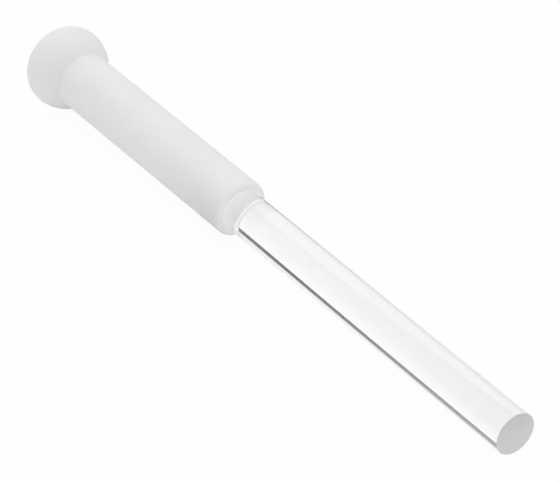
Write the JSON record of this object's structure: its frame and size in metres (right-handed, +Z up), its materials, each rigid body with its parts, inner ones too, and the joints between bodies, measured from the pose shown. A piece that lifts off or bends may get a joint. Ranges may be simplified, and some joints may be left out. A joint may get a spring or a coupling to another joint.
{
  "type": "singing bowl wand",
  "caption": "Clear acrylic bar with a silicone striker, a round head and sleeve in one, pushed over its far part, for rubbing or striking a singing bowl.",
  "frame": {"origin": "on the wand's axis in the middle of the bare bar, where a hand holds it", "axes": "+X along the wand's axis towards the free end of the bar, the head at -X, +Z up with the wand level"},
  "size_m": [0.3452, 0.04, 0.04],
  "materials": {
    "clear_acrylic": "clear, polished round side, ground grey ends",
    "white_silicone": "matt, slightly translucent"
  },
  "bodies": {
    "root": {"handle_rod": "clear_acrylic", "striker": "white_silicone"}
  },
  "joints": []
}
